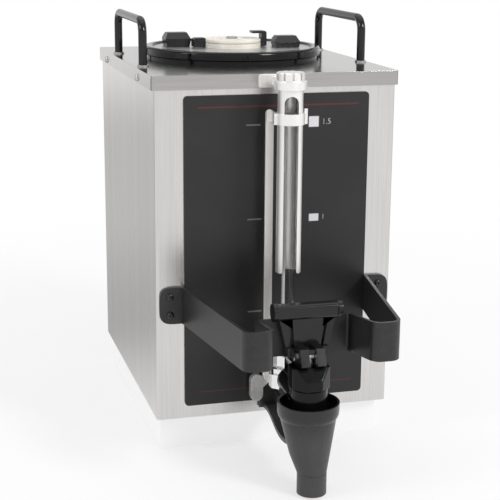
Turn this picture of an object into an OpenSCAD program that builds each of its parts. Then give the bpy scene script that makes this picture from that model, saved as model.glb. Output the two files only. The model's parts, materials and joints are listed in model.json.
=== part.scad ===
// Insulated coffee server: a lidded tank in a stainless cabinet, with a lever tap
// and a sight gauge on its front. X is across, Z is up and the front faces -Y.
// The origin is the centre of the base's underside.

/* [Cabinet] */
// Width of the cabinet shell
body_w = 227; // [222:1:250]
// Depth of the cabinet shell
body_d = 285; // [276:1:310]
// Height from the base to the top of the cover
cover_top = 321; // [318:1:345]
// Thickness of the stainless sheet
sheet = 1.2; // [0.8:0.1:1.6]
// Radius of the cabinet's upright corners
corner_r = 3; // [2:0.5:6]
// Depth of the cover's turned-down flange
flange_h = 13; // [11:0.5:16]
// Gap between the flange and the shell
flange_gap = 1.3; // [0.5:0.1:2]
// Bare steel on each side of the black front panel
panel_margin = 26.25; // [25.5:0.25:33]
// Height of the black front panel
panel_h = 290.5; // [270:0.5:294]
// Height of the panel's lower edge
panel_z = 12; // [6:0.5:14]
// Thickness of the front panel
panel_t = 1.5; // [1:0.1:2.5]
// Height of the base pan's turned-up wall
pan_wall_h = 12; // [8:1:20]

/* [Bail handles] */
// Distance of the handles from the cabinet's sides
handle_in = 5.7; // [5.5:0.1:8.5]
// Place of the front legs along the depth
handle_front_y = -63; // [-75:1:-50]
// Place of the back legs along the depth
handle_back_y = 68; // [55:1:80]
// Height of the bar's centre line above the cover
handle_h = 42; // [34:1:55]
// Diameter of the bar
handle_d = 8; // [6:0.5:8]
// Bend radius of the bar's centre line
handle_bend_r = 12; // [8:1:16]
// Thickness of the washer under each leg
washer_t = 1.5; // [1:0.1:2.5]

/* [Tank and mouth] */
// Inside radius of the tank
tank_r = 83; // [82:0.5:84]
// Place of the tank's axis along the depth
tank_y = 21; // [18:0.5:24]
// Height of the tank's floor
tank_floor = 30; // [24:1:34]
// Wall of the tank
tank_wall = 1; // [0.8:0.1:1.5]
// Inside radius of the tank's neck
neck_r = 80.3; // [80:0.1:81]
// Thickness of the insulation round the tank
insulation_t = 15; // [8:1:18]
// Width of the black collar's rim outside the neck
collar_rim = 8.7; // [7.7:0.1:11.5]
// Height of the collar above the cover
collar_h = 11.3; // [10:0.1:14]

/* [Lid] */
// Thickness of the lid's plate
lid_t = 1.5; // [1:0.1:2]
// Depth of the lid's skirt below its plate
lid_skirt_h = 16; // [10:1:20]
// Radius of the brew-through port and its dial
port_r = 29; // [27:0.5:29]
// Height of the port's fixed ring
port_ring_h = 4.7; // [4:0.1:6]
// Thickness of the port's dial
dial_t = 3.4; // [2.5:0.1:4.5]
// Radius of each brew hole
brew_hole_r = 6; // [4:0.5:6.5]
// Number of brew holes
brew_holes = 4; // [3:1:4]
// Width of the lid's two grips
grip_w = 26; // [20:0.5:27]
// Height of the left grip
grip_left_h = 14; // [10:0.5:16]
// Height of the right grip
grip_right_h = 11.5; // [8:0.5:13]

/* [Sight gauge] */
// Distance of the gauge's axis in front of the cabinet
gauge_out = 39; // [38.5:0.5:42]
// Outside radius of the slotted shield
shield_r = 11.3; // [10.5:0.1:12]
// Wall of the shield
shield_wall = 1.5; // [1:0.1:2]
// Height of the shield's lower end
shield_z = 147; // [130:1:160]
// Width of the sight slot
slot_w = 12.5; // [8:0.5:13]
// Angle by which the sight slot is turned to the left
slot_turn = 10; // [0:1:15]
// Outside radius of the glass
glass_r = 6.1; // [5:0.1:6.5]
// Wall of the glass
glass_wall = 1.4; // [1:0.1:2]
// Width of the stay beside the gauge
stay_w = 7.2; // [6:0.1:9]
// Distance of the stay's centre line to the left of the gauge
stay_x = 12.5; // [12:0.1:13.5]
// Height of the top of the stay
stay_top = 291; // [285:1:294]
// Height of the clip round the shield
clip_h = 10; // [8:0.5:14]

/* [Tap] */
// Height of the tap's shank
shank_z = 47.5; // [45:0.5:52]
// Outside radius of the shank
shank_r = 9.5; // [8.5:0.1:10]
// Radius of the coffee's way through shank and tap
flow_r = 6; // [4.5:0.1:6.5]
// Distance of the tap's axis in front of the cabinet
tap_out = 104.5; // [103:0.5:108]
// Radius of the tap's body
tap_r = 16.5; // [15.5:0.1:17]
// Radius of the spout below the tap's body
spout_r = 11; // [10.5:0.1:12]
// Distance between opposite flats of the tap's eight-sided bonnet
bonnet_w = 34; // [32:0.5:36]
// Height of the lever's pin
pin_z = 89; // [88.5:0.5:91]
// Radius of the lever's pin
pin_r = 2; // [1.5:0.1:2.5]
// Angle through which the lever opens the tap
lever_angle = 40; // [30:1:42]
// Lift of the stem over that angle
stem_lift = 6; // [4:0.5:6]
// Width of the lever's top bar
lever_bar_w = 62; // [56:1:64]

/* [Spout guard] */
// Outside radius of the guard's mouth
guard_mouth_r = 27.4; // [26.5:0.1:30]
// Outside radius of the guard's outlet
outlet_r = 13.1; // [12:0.1:14]
// How far the outlet reaches below the base
outlet_drop = 33; // [25:1:36]
// How far the outlet lies in front of the mouth's axis
outlet_out = 13; // [8:1:15]
// Wall of the guard
guard_wall = 2; // [1.5:0.1:2.5]

/* [Guard band] */
// Height of the band's strap
band_h = 34.5; // [30:0.5:37]
// Thickness of the band's strap
band_t = 3; // [2.5:0.1:3.5]
// Height of the middle of the band's pads
pad_z = 111; // [108:1:114]
// Distance of the band's two noses in front of the cabinet
band_out = 144.5; // [136:0.5:148]
// How far the noses lie below the pads
nose_drop = 1.5; // [0:0.5:4]
// How far the strap behind the lever lies below the noses
middle_drop = 9; // [6:0.5:10]

/* [Hidden] */

$fn = 64;
fit = 0.1;
run = 0.3;
cut = 1;

// Cabinet
front_y = -body_d / 2;
cover_w = body_w + 2 * (flange_gap + sheet);
cover_d = body_d + 2 * (flange_gap + sheet);
cover_under = cover_top - sheet;
panel_y = front_y - panel_t;
panel_w = body_w - 2 * panel_margin;
handle_x = body_w / 2 - handle_in;
stud_r = 2;
stud_drop = 9;
screw_r = 1.6;
screw_head_r = 3.5;
screw_head_t = 2;
cover_screw_z = cover_top - 8.5;
cover_screw_ys = [-77, 94];
leg_ys = [handle_front_y, handle_back_y];

// Tank and mouth
tank_out_r = tank_r + tank_wall;
neck_out_r = neck_r + tank_wall;
shoulder_z = cover_top - 26;
collar_r = neck_r + collar_rim;
collar_skirt_r = neck_r - run;
seat_r = collar_skirt_r - 2.5;
seat_z = cover_top + 5;
collar_lip_r = collar_skirt_r;
collar_top = cover_top + collar_h;

// Lid
lid_r = collar_lip_r - 0.4;
gasket_h = 2.5;
lid_under = seat_z + run + gasket_h;
lid_top = lid_under + lid_t;
lid_skirt_r = seat_r - 0.4;
port_spigot_r = 23;
port_floor_t = 2;
port_drop = 10;
dial_z = lid_top + port_ring_h + run;
brew_pitch_r = 15;
dial_open = 180 / brew_holes;
pivot_r = 3;
lug_z = lid_top + 0.6;
grip_left_at = [-54, tank_y + 16];
grip_right_at = [53, tank_y - 12];
grip_d = 20;

// Tap and gauge, along the shank from the cabinet outwards
gauge_y = front_y - gauge_out;
tap_y = front_y - tap_out;
guard_plate_t = 2.5;
guard_plate_y = panel_y - guard_plate_t;
wing_nut_t = 12;
wing_nut_y = guard_plate_y - wing_nut_t;
stay_t = 3;
stay_y = wing_nut_y - stay_t;
base_block_d = 20;
base_block_w = 31;
base_block_h = 18;
base_neck_r = 12;
base_front_y = gauge_y - base_block_d / 2;
base_top = shank_z + base_block_h / 2;
boss_r = 15;
boss_y = tank_y - tank_out_r - 17;
shank_back_y = tank_y - tank_r - 1;
shank_front_y = gauge_y + base_block_d / 2;
nipple_r = 7.5;
inlet_r = 12;
nipple_back_y = gauge_y - glass_r - 0.9;

// Gauge
glass_z = base_top - 6;
glass_top = cover_top - 1;
packing_w = 16.6;
packing_h = 12;
seal_r = glass_r + 1.2;
seal_t = 1.5;
shield_top = cover_top - 2.5;
bracket_ring_h = 7.5;
bracket_ring_r = shield_r + 3.2;
cap_r = shield_r + 1.4;
cap_h = 7.5;
cap_slots = 10;
clip_top = stay_top - 0.5;
clip_t = 1.6;
slot_arch_z = cover_top - 21.5;

// Tap
seat_top = 40;
tap_neck_r = 14;
chamber_r = tap_neck_r - 2.5;
tap_top = 72;
tap_bottom = seat_top - 5;
spout_bottom = 20;
bonnet_z = 60;
stem_r = 3;
cup_r = 10.5;
cam_r = 8.5;
bonnet_top = pin_z - cam_r - run;
lever_top = pin_z + 44.5;
lever_bar_h = 13.5;
lever_bar_d = 13;
lever_bar_y = 9;
cheek_x = 3.3;
cheek_w = 8;

// Spout guard
mouth_z = 47;
bowl_z = 30;
throat_z = 1;
tube_z = -15;
bowl_r = 23.5;
throat_r = 18;
arm_w = 24;
arm_t = 4;

// Guard band
nose_y = -band_out;
pad_end_x = body_w / 2 - 2.7;
pad_in_x = body_w / 2 - 24.5;
pad_root_x = pad_in_x - 1.4;
pad_r = 19;
band_screw_x = body_w / 2 - 12.5;
band_screw_gap = 17.4;
middle_y = -85.5;
nose_x = [44.5, 67];
band_path = [
    [0, middle_y, 4], [43.5, middle_y, 4], [nose_x[0], nose_y, 7], [nose_x[1], nose_y, 9], [pad_in_x, 0, 3]
];

// --- shapes used more than once ---

// Rectangle about the origin with round corners
module round_rect(w, d, r) {
    square([w - 2 * r, d], center = true);
    square([w, d - 2 * r], center = true);
    for (x = [-1, 1], y = [-1, 1])
        translate([x * (w / 2 - r), y * (d / 2 - r)]) circle(r);
}

// Cylinder along Y between two places
module y_rod(r, y_front, y_back, x = 0, z = 0) {
    translate([x, y_back, z]) rotate([90, 0, 0]) cylinder(r = r, h = y_back - y_front);
}

// Cylinder along X, centred
module x_rod(r, length) {
    rotate([0, 90, 0]) cylinder(r = r, h = length, center = true);
}

// Plate in the XZ plane, drawn as seen from the front, with its back at y_back
module front_plate(y_front, y_back) {
    translate([0, y_back, 0]) rotate([90, 0, 0]) linear_extrude(y_back - y_front) children();
}

// Block between two corners
module block(low, high) {
    translate(low) cube(high - low);
}

// Hexagonal nut along Z with its lower face at the origin
module hex_nut(across_flats, h, bore_r) {
    difference() {
        cylinder(r = across_flats / 2 / cos(30), h = h, $fn = 6);
        translate([0, 0, -cut]) cylinder(r = bore_r, h = h + 2 * cut, $fn = 32);
    }
}

// Points of a cubic Bezier curve
function bezier(p, n) = [for (i = [0 : n]) let (t = i / n)
    pow(1 - t, 3) * p[0] + 3 * t * pow(1 - t, 2) * p[1] + 3 * t * t * (1 - t) * p[2] + pow(t, 3) * p[3]];

// --- cabinet ---

module body_shell() {
    inner_r = max(corner_r - sheet, 0.5);
    color("#c3c1bc") difference() {
        linear_extrude(cover_under) difference() {
            round_rect(body_w, body_d, corner_r);
            round_rect(body_w - 2 * sheet, body_d - 2 * sheet, inner_r);
        }
        y_rod(shank_r + run, front_y - cut, front_y + sheet + cut, 0, shank_z);
        for (x = [-1, 1], z = [-1, 1])
            y_rod(screw_r + fit, front_y - cut, front_y + sheet + cut,
                x * band_screw_x, pad_z + z * band_screw_gap / 2);
        for (y = cover_screw_ys)
            translate([0, y, cover_screw_z]) x_rod(screw_r + fit, body_w + 2 * cut);
    }
}

module base_pan() {
    w = body_w - 2 * (sheet + fit);
    d = body_d - 2 * (sheet + fit);
    r = max(corner_r - sheet, 0.5);
    color("#a9a8a5") difference() {
        linear_extrude(pan_wall_h) round_rect(w, d, r);
        translate([0, 0, sheet]) linear_extrude(pan_wall_h)
            round_rect(w - 2 * sheet, d - 2 * sheet, 0.5);
    }
}

module top_cover() {
    color("#d2cfc9") difference() {
        translate([0, 0, cover_top - flange_h]) linear_extrude(flange_h)
            round_rect(cover_w, cover_d, corner_r + sheet);
        translate([0, 0, cover_top - flange_h - cut]) linear_extrude(flange_h - sheet + cut)
            round_rect(cover_w - 2 * sheet, cover_d - 2 * sheet, corner_r);
        translate([0, tank_y, cover_top - 2 * sheet])
            cylinder(r = neck_out_r + run, h = 4 * sheet, $fn = 128);
        for (x = [-1, 1], y = leg_ys)
            translate([x * handle_x, y, cover_top - 2 * sheet]) cylinder(r = stud_r + fit, h = 4 * sheet, $fn = 24);
        for (y = cover_screw_ys)
            translate([0, y, cover_screw_z]) x_rod(screw_r + fit, cover_w + 2 * cut);
        // open seam where each side flange meets the front one
        for (x = [-1, 1])
            translate([x * cover_w / 2, -cover_d / 2 + corner_r + sheet, cover_top - flange_h / 2 - sheet])
                cube([3 * sheet, 0.8, flange_h - 2 * sheet], center = true);
    }
}

module front_panel() {
    color("#2a292b") difference() {
        front_plate(panel_y, front_y) translate([0, panel_z + panel_h / 2]) round_rect(panel_w, panel_h, 4);
        y_rod(shank_r + run, panel_y - cut, front_y + cut, 0, shank_z);
    }
}

module cover_screws() {
    color("#b9b7b2") for (x = [-1, 1], y = cover_screw_ys)
        translate([x * cover_w / 2, y, cover_screw_z]) rotate([0, x * 90, 0]) {
            cylinder(r1 = screw_head_r, r2 = screw_head_r - 1, h = screw_head_t, $fn = 32);
            translate([0, 0, -7]) cylinder(r = screw_r, h = 7, $fn = 24);
        }
}

// --- bail handles ---

module bail_handle(side) {
    leg_z = cover_top + washer_t;
    bar_z = cover_top + handle_h;
    color("#1d1d1f") translate([side * handle_x, 0, 0]) {
        for (y = leg_ys) {
            inward = y == handle_front_y ? 1 : -1;
            translate([0, y, leg_z]) cylinder(d = handle_d, h = bar_z - handle_bend_r - leg_z, $fn = 32);
            translate([0, y, cover_under - stud_drop]) cylinder(r = stud_r, h = leg_z - cover_under + stud_drop, $fn = 24);
            translate([0, y + inward * handle_bend_r, bar_z - handle_bend_r]) rotate([0, -90, 0])
                rotate([0, 0, inward > 0 ? -90 : 0])
                    rotate_extrude(angle = 90) translate([handle_bend_r, 0]) circle(d = handle_d, $fn = 32);
        }
        y_rod(handle_d / 2, handle_front_y + handle_bend_r, handle_back_y - handle_bend_r, 0, bar_z, $fn = 32);
    }
}

module handle_left() { bail_handle(-1); }

module handle_right() { bail_handle(1); }

module handle_washers() {
    color("#8e8d8a") for (x = [-1, 1], y = leg_ys)
        translate([x * handle_x, y, cover_top]) difference() {
            cylinder(d = handle_d + 3, h = washer_t, $fn = 32);
            translate([0, 0, -cut]) cylinder(r = stud_r + fit, h = washer_t + 2 * cut, $fn = 24);
        }
}

module handle_nuts() {
    color("#9b9a96") for (x = [-1, 1], y = leg_ys)
        translate([x * handle_x, y, cover_under - 3.2]) rotate([0, 0, 30]) hex_nut(6.5, 3.2, stud_r + fit);
}

// --- tank ---

module tank_liner() {
    color("#b5b5b2") difference() {
        translate([0, tank_y, 0]) rotate_extrude($fn = 128) polygon([
            [0, tank_floor], [tank_out_r, tank_floor], [tank_out_r, shoulder_z],
            [neck_out_r, shoulder_z + 5], [neck_out_r, cover_under], [neck_r, cover_under],
            [neck_r, shoulder_z + 5], [tank_r, shoulder_z], [tank_r, tank_floor + tank_wall],
            [0, tank_floor + tank_wall]
        ]);
        y_rod(shank_r + fit, tank_y - tank_out_r - cut, tank_y - tank_r + 3, 0, shank_z);
    }
}

module insulation() {
    top = shoulder_z - 5;
    color("#d8c98a") difference() {
        translate([0, tank_y, sheet]) cylinder(r = tank_out_r + insulation_t, h = top - sheet, $fn = 96);
        translate([0, tank_y, tank_floor]) cylinder(r = tank_out_r + fit, h = top, $fn = 96);
        y_rod(boss_r + run, tank_y - tank_out_r - insulation_t - cut, tank_y - tank_r + 3, 0, shank_z);
    }
}

module outlet_boss() {
    color("#9f9f9c") difference() {
        y_rod(boss_r, boss_y, tank_y - tank_r + 2, 0, shank_z);
        translate([0, tank_y, 0]) cylinder(r = tank_out_r, h = cover_top, $fn = 128);
        y_rod(shank_r + fit, boss_y - cut, tank_y - tank_r + 3, 0, shank_z);
    }
}

module lid_collar() {
    bead_z = cover_top + 2.5;
    edge = 3;
    color("#161617") translate([0, tank_y, 0]) rotate_extrude($fn = 128) union() {
        polygon([
            [seat_r, cover_under - 10], [collar_skirt_r, cover_under - 10], [collar_skirt_r, cover_top],
            [collar_r - edge, cover_top], [collar_r - edge, bead_z], [collar_r - 1, bead_z],
            [collar_r, bead_z + 1], [collar_r, collar_top - edge], [collar_r - edge, collar_top],
            [collar_lip_r + 2, collar_top], [collar_lip_r, collar_top - 2],
            [collar_lip_r, seat_z], [seat_r, seat_z]
        ]);
        translate([collar_r - edge, collar_top - edge]) circle(edge, $fn = 32);
    }
}

// --- lid ---

module lid_plate() {
    color("#b9b8b5") difference() {
        translate([0, tank_y, 0]) rotate_extrude($fn = 128) polygon([
            [0, lid_under], [lid_skirt_r - lid_t, lid_under], [lid_skirt_r - lid_t, lid_under - lid_skirt_h],
            [lid_skirt_r, lid_under - lid_skirt_h], [lid_skirt_r, lid_under], [lid_r, lid_under],
            [lid_r, lid_top - 0.5], [lid_r - 0.5, lid_top], [0, lid_top]
        ]);
        translate([0, tank_y, lid_under - cut]) cylinder(r = port_spigot_r + fit, h = lid_t + 2 * cut);
        for (at = [grip_left_at, grip_right_at], x = [-1, 1])
            translate([at.x + x * grip_w / 4, at.y, lid_under - cut])
                cylinder(r = stud_r + fit, h = lid_t + 2 * cut, $fn = 24);
    }
}

module lid_gasket() {
    color("#d9d6cf") translate([0, tank_y, seat_z + run]) difference() {
        cylinder(r = lid_r, h = gasket_h, $fn = 128);
        translate([0, 0, -cut]) cylinder(r = lid_skirt_r + fit, h = gasket_h + 2 * cut, $fn = 128);
    }
}

// Grip with its four upper edges bevelled and two studs through the lid
module lid_grip(at, h) {
    bevel = 3;
    w = grip_w;
    color("#1b1b1c") translate([at.x, at.y, lid_top]) {
        intersection() {
            translate([0, grip_d / 2, 0]) rotate([90, 0, 0]) linear_extrude(grip_d) polygon([
                [-w / 2 + bevel / 2, 0], [w / 2 - bevel / 2, 0], [w / 2, h - 2 * bevel],
                [w / 2 - bevel, h], [bevel - w / 2, h], [-w / 2, h - 2 * bevel]
            ]);
            translate([-w / 2, 0, 0]) rotate([90, 0, 90]) linear_extrude(w) polygon([
                [-grip_d / 2, 0], [grip_d / 2, 0], [grip_d / 2, h - bevel],
                [grip_d / 2 - bevel, h], [2 * bevel - grip_d / 2, h], [-grip_d / 2, h - 2 * bevel]
            ]);
        }
        for (x = [-1, 1]) translate([x * w / 4, 0, -lid_t - 6]) cylinder(r = stud_r, h = lid_t + 7, $fn = 24);
    }
}

module lid_grip_left() { lid_grip(grip_left_at, grip_left_h); }

module lid_grip_right() { lid_grip(grip_right_at, grip_right_h); }

module lid_grip_nuts() {
    nut_w = 7;
    color("#9b9a96") for (at = [grip_left_at, grip_right_at], x = [-1, 1])
        translate([at.x + x * grip_w / 4, at.y, lid_under - 3]) hex_nut(nut_w, 3, stud_r + fit);
}

// Holes of the port, turned by an angle about its middle
module brew_hole_ring(turn, h) {
    for (i = [0 : brew_holes - 1]) rotate([0, 0, turn + i * 360 / brew_holes])
        translate([brew_pitch_r, 0, 0]) cylinder(r = brew_hole_r, h = h, $fn = 48);
}

module brew_port() {
    floor_top = lid_top + port_ring_h;
    color("#e9e4d6") translate([0, tank_y, 0]) difference() {
        union() {
            translate([0, 0, lid_top]) cylinder(r = port_r, h = port_ring_h, $fn = 96);
            translate([0, 0, lid_under - port_drop]) cylinder(r = port_spigot_r, h = port_drop + lid_t + cut);
        }
        translate([0, 0, lid_under - port_drop - cut])
            cylinder(r = port_spigot_r - 2, h = floor_top - port_floor_t - lid_under + port_drop + cut);
        translate([0, 0, floor_top - port_floor_t - cut]) brew_hole_ring(dial_open, port_floor_t + 2 * cut);
        translate([0, 0, floor_top - port_floor_t - cut])
            cylinder(r = pivot_r - 1 + fit, h = port_floor_t + 2 * cut, $fn = 32);
    }
}

module port_clamp_ring() {
    color("#dcd7c9") translate([0, tank_y, lid_under - 3]) difference() {
        cylinder(r = port_r - 2, h = 3);
        translate([0, 0, -cut]) cylinder(r = port_spigot_r + fit, h = 3 + 2 * cut);
    }
}

module port_dial() {
    edge = 0.8;
    color("#efeade") translate([0, tank_y, dial_z]) difference() {
        rotate_extrude($fn = 96) polygon([
            [0, 0], [port_r, 0], [port_r, dial_t - edge], [port_r - edge, dial_t], [0, dial_t]
        ]);
        translate([0, 0, -cut]) brew_hole_ring(0, dial_t + 2 * cut);
        translate([0, 0, -cut]) cylinder(r = pivot_r + 0.05, h = dial_t + 2 * cut, $fn = 32);
    }
}

module dial_pivot() {
    color("#a8a7a3") translate([0, tank_y, 0]) {
        translate([0, 0, lid_top + port_ring_h]) cylinder(r = pivot_r, h = dial_t + 2 * run, $fn = 32);
        translate([0, 0, dial_z + dial_t + run]) cylinder(r1 = 2 * pivot_r, r2 = 2 * pivot_r - 1, h = 1.6, $fn = 48);
        translate([0, 0, lid_top + port_ring_h - port_floor_t - 1.5])
            cylinder(r = pivot_r - 1, h = port_floor_t + 1.5 + cut, $fn = 32);
    }
}

// Round lug on the left rim of the dial
module dial_lug() {
    lug_w = 11;
    h = dial_z + dial_t + 1.2 - lug_z;
    color("#1b1b1c") translate([0, tank_y, lug_z]) difference() {
        translate([-port_r - 6, 0, 0]) rotate([90, 0, 0])
            linear_extrude(lug_w, center = true) union() {
                translate([-3, 0]) square([10, h]);
                translate([-6, 0]) square([10, h - 3]);
                translate([-3, h - 3]) circle(3, $fn = 32);
            }
        translate([0, 0, -cut]) cylinder(r = port_r, h = h + 2 * cut, $fn = 96);
    }
}

// Hooked finger tab on the right rim of the dial
module dial_hook() {
    tab_w = 12;
    tab_t = 2.4;
    post_t = 5.2;
    reach = 15;
    top = dial_z + dial_t + 7.4 - lug_z;
    color("#1b1b1c") translate([0, tank_y, lug_z]) difference() {
        translate([port_r + 0.8, 0, 0]) rotate([90, 0, 0]) linear_extrude(tab_w, center = true) {
            square([post_t, top - tab_t]);
            translate([post_t - reach, top - tab_t]) square([reach - tab_t, tab_t]);
            intersection() {
                translate([post_t - tab_t, top - tab_t]) circle(tab_t, $fn = 32);
                translate([post_t - tab_t, top - tab_t]) square(tab_t);
            }
            translate([-3, 0]) square([4, top - 9]);
        }
        translate([0, 0, -cut]) cylinder(r = port_r, h = dial_z + dial_t - lug_z + cut, $fn = 96);
    }
}

// --- shank ---

module tap_shank() {
    color("#b9b9b8") difference() {
        y_rod(shank_r, shank_front_y, shank_back_y, 0, shank_z);
        y_rod(flow_r, shank_front_y - cut, shank_back_y + cut, 0, shank_z);
        translate([0, tank_y, 0]) cylinder(r = tank_r, h = cover_top, $fn = 128);
    }
}

module shank_seal() {
    color("#c9553d") difference() {
        y_rod(shank_r + 4, boss_y - 2, boss_y, 0, shank_z);
        y_rod(shank_r + fit, boss_y - 2 - cut, boss_y + cut, 0, shank_z);
    }
}

module shank_jam_nut() {
    color("#a5a5a2") translate([0, front_y + sheet, shank_z]) rotate([-90, 0, 0])
        hex_nut(30, 7, shank_r + fit);
}

// Nut with two rounded ears, which clamps the shank to the cabinet
module wing_nut() {
    hub_r = 14;
    ear_w = 12;
    ear_h = 26;
    ear_at = [-21, -19];
    web_w = 8;
    color("#c9c9c8") difference() {
        union() {
            y_rod(hub_r, wing_nut_y, guard_plate_y, 0, shank_z);
            for (turn = [0, 180]) translate([0, 0, shank_z]) rotate([0, turn, 0])
                front_plate(wing_nut_y + 2, guard_plate_y - 4) {
                    translate(ear_at) square([ear_w, ear_h - ear_w], center = true);
                    for (z = [-1, 1]) translate(ear_at + [0, z * (ear_h - ear_w) / 2]) circle(ear_w / 2);
                    rotate(atan2(ear_at.y, ear_at.x)) translate([hub_r / 2, -web_w / 2])
                        square([norm(ear_at) - hub_r / 2, web_w]);
                }
        }
        y_rod(shank_r + fit, wing_nut_y - cut, guard_plate_y + cut, 0, shank_z);
    }
}

// --- sight gauge ---

module gauge_stay() {
    eye_r = 17;
    color("#cfcecb") difference() {
        front_plate(stay_y, wing_nut_y) {
            translate([0, shank_z]) circle(eye_r);
            translate([-stay_x - stay_w / 2, shank_z]) square([stay_w, stay_top - stay_w / 2 - shank_z]);
            translate([-stay_x, stay_top - stay_w / 2]) circle(stay_w / 2, $fn = 32);
        }
        y_rod(shank_r + fit, stay_y - cut, wing_nut_y + cut, 0, shank_z);
        y_rod(screw_r + fit, stay_y - cut, wing_nut_y + cut, -stay_x, clip_top - clip_h / 2);
    }
}

module gauge_clip() {
    tab_x = -shield_r - fit - clip_t;
    color("#cbc8c2") translate([0, 0, clip_top - clip_h]) {
        difference() {
            union() {
                translate([0, gauge_y, 0]) cylinder(r = shield_r + fit + clip_t, h = clip_h);
                block([tab_x, gauge_y, 0], [tab_x + clip_t, stay_y, clip_h]);
                block([-stay_x - stay_w / 2, stay_y - clip_t, 0], [tab_x + clip_t, stay_y, clip_h]);
            }
            translate([0, gauge_y, -cut]) cylinder(r = shield_r + fit, h = clip_h + 2 * cut);
        }
        y_rod(screw_r, stay_y - clip_t, wing_nut_y, -stay_x, clip_h / 2, $fn = 24);
        y_rod(screw_head_r - 0.6, stay_y - clip_t - 1.6, stay_y - clip_t, -stay_x, clip_h / 2, $fn = 24);
    }
}

// Block seen from above, with its four corners cut off
module cut_corners(w, d) {
    leg = 5.5;
    polygon([
        [leg - w / 2, -d / 2], [w / 2 - leg, -d / 2], [w / 2, leg - d / 2], [w / 2, d / 2 - leg],
        [w / 2 - leg, d / 2], [leg - w / 2, d / 2], [-w / 2, d / 2 - leg], [-w / 2, leg - d / 2]
    ]);
}

module gauge_base() {
    step = 2;
    step_h = 5;
    color("#bfbfbe") difference() {
        union() {
            translate([0, gauge_y, base_top - base_block_h]) linear_extrude(base_block_h - step_h)
                cut_corners(base_block_w, base_block_d);
            translate([0, gauge_y, shank_z]) linear_extrude(base_top - shank_z)
                cut_corners(base_block_w - 2 * step, base_block_d - step);
            y_rod(base_neck_r, gauge_y + base_block_d / 2 - 1, stay_y, 0, shank_z);
        }
        y_rod(shank_r + fit, shank_front_y, stay_y + cut, 0, shank_z);
        y_rod(flow_r, base_front_y - cut, stay_y, 0, shank_z);
        y_rod(nipple_r + fit, base_front_y - cut, nipple_back_y, 0, shank_z);
        translate([0, gauge_y, glass_z]) cylinder(r = glass_r + fit, h = base_block_h);
        translate([0, gauge_y, shank_z]) cylinder(r = glass_r - glass_wall, h = base_block_h);
    }
}

module gauge_packing_nut() {
    color("#d4d4d3") translate([0, gauge_y, base_top]) difference() {
        hex_nut(packing_w, packing_h, glass_r + fit);
        translate([0, 0, -cut]) cylinder(r = seal_r + fit, h = seal_t + fit + cut, $fn = 48);
    }
}

// One ring inside the nut at the glass's foot and one inside the cap
module gauge_seals() {
    color("#8c3b2c") for (z = [base_top, shield_top])
        translate([0, gauge_y, z]) difference() {
            cylinder(r = seal_r, h = seal_t);
            translate([0, 0, -cut]) cylinder(r = glass_r + 0.05, h = seal_t + 2 * cut);
        }
}

module gauge_glass() {
    color([0.85, 0.9, 0.92, 0.4]) translate([0, gauge_y, glass_z]) difference() {
        cylinder(r = glass_r, h = glass_top - glass_z);
        translate([0, 0, -cut]) cylinder(r = glass_r - glass_wall, h = glass_top - glass_z + 2 * cut);
    }
}

// Tube with a sight slot that ends in an arch, and with round corners at its foot
module gauge_shield() {
    foot_r = 2.5;
    color("#d7d4ce") translate([0, gauge_y, 0]) difference() {
        translate([0, 0, shield_z]) cylinder(r = shield_r, h = shield_top - shield_z);
        translate([0, 0, shield_z - cut]) cylinder(r = shield_r - shield_wall, h = shield_top - shield_z + 2 * cut);
        rotate([0, 0, -slot_turn]) {
            front_plate(-shield_r - cut, 0) {
                translate([-slot_w / 2, shield_z - cut]) square([slot_w, slot_arch_z - shield_z + cut]);
                translate([0, slot_arch_z]) circle(slot_w / 2);
            }
            for (x = [-1, 1]) front_plate(-shield_r - cut, 0)
                translate([x * slot_w / 2, shield_z]) difference() {
                    square(2 * foot_r, center = true);
                    translate([x * foot_r, foot_r]) circle(foot_r + fit, $fn = 32);
                }
        }
    }
}

module gauge_top_bracket() {
    plate_w = 38;
    arm_w_top = 12;
    z = shield_top - bracket_ring_h;
    color("#cfccc6") difference() {
        union() {
            translate([0, gauge_y, z]) cylinder(r = bracket_ring_r, h = bracket_ring_h);
            block([-arm_w_top / 2, gauge_y, z], [arm_w_top / 2, -cover_d / 2, z + bracket_ring_h]);
            front_plate(-cover_d / 2 - sheet, -cover_d / 2)
                translate([0, cover_top - flange_h / 2]) round_rect(plate_w, flange_h - 1, 2);
        }
        translate([0, gauge_y, z - cut]) cylinder(r = shield_r + fit, h = bracket_ring_h + 2 * cut);
    }
}

// Castellated cap over the top of the glass
module gauge_cap() {
    slot_t = 2;
    slot_depth = 3.5;
    first_slot = 236.5;
    color("#d9d6d0") translate([0, gauge_y, shield_top]) difference() {
        rotate_extrude() polygon([
            [0, 0], [cap_r, 0], [cap_r, cap_h - 1], [cap_r - 1, cap_h], [0, cap_h]
        ]);
        translate([0, 0, -cut]) cylinder(r = seal_r + fit, h = seal_t + fit + cut);
        translate([0, 0, -cut]) cylinder(r = glass_r + fit, h = glass_top - shield_top + fit + cut);
        for (i = [0 : cap_slots - 1]) rotate([0, 0, first_slot + 360 / cap_slots * i])
            translate([cap_r, 0, cap_h]) cube([2 * slot_depth, slot_t, 2 * (cap_h - 1.2)], center = true);
    }
}

// --- tap ---

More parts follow.
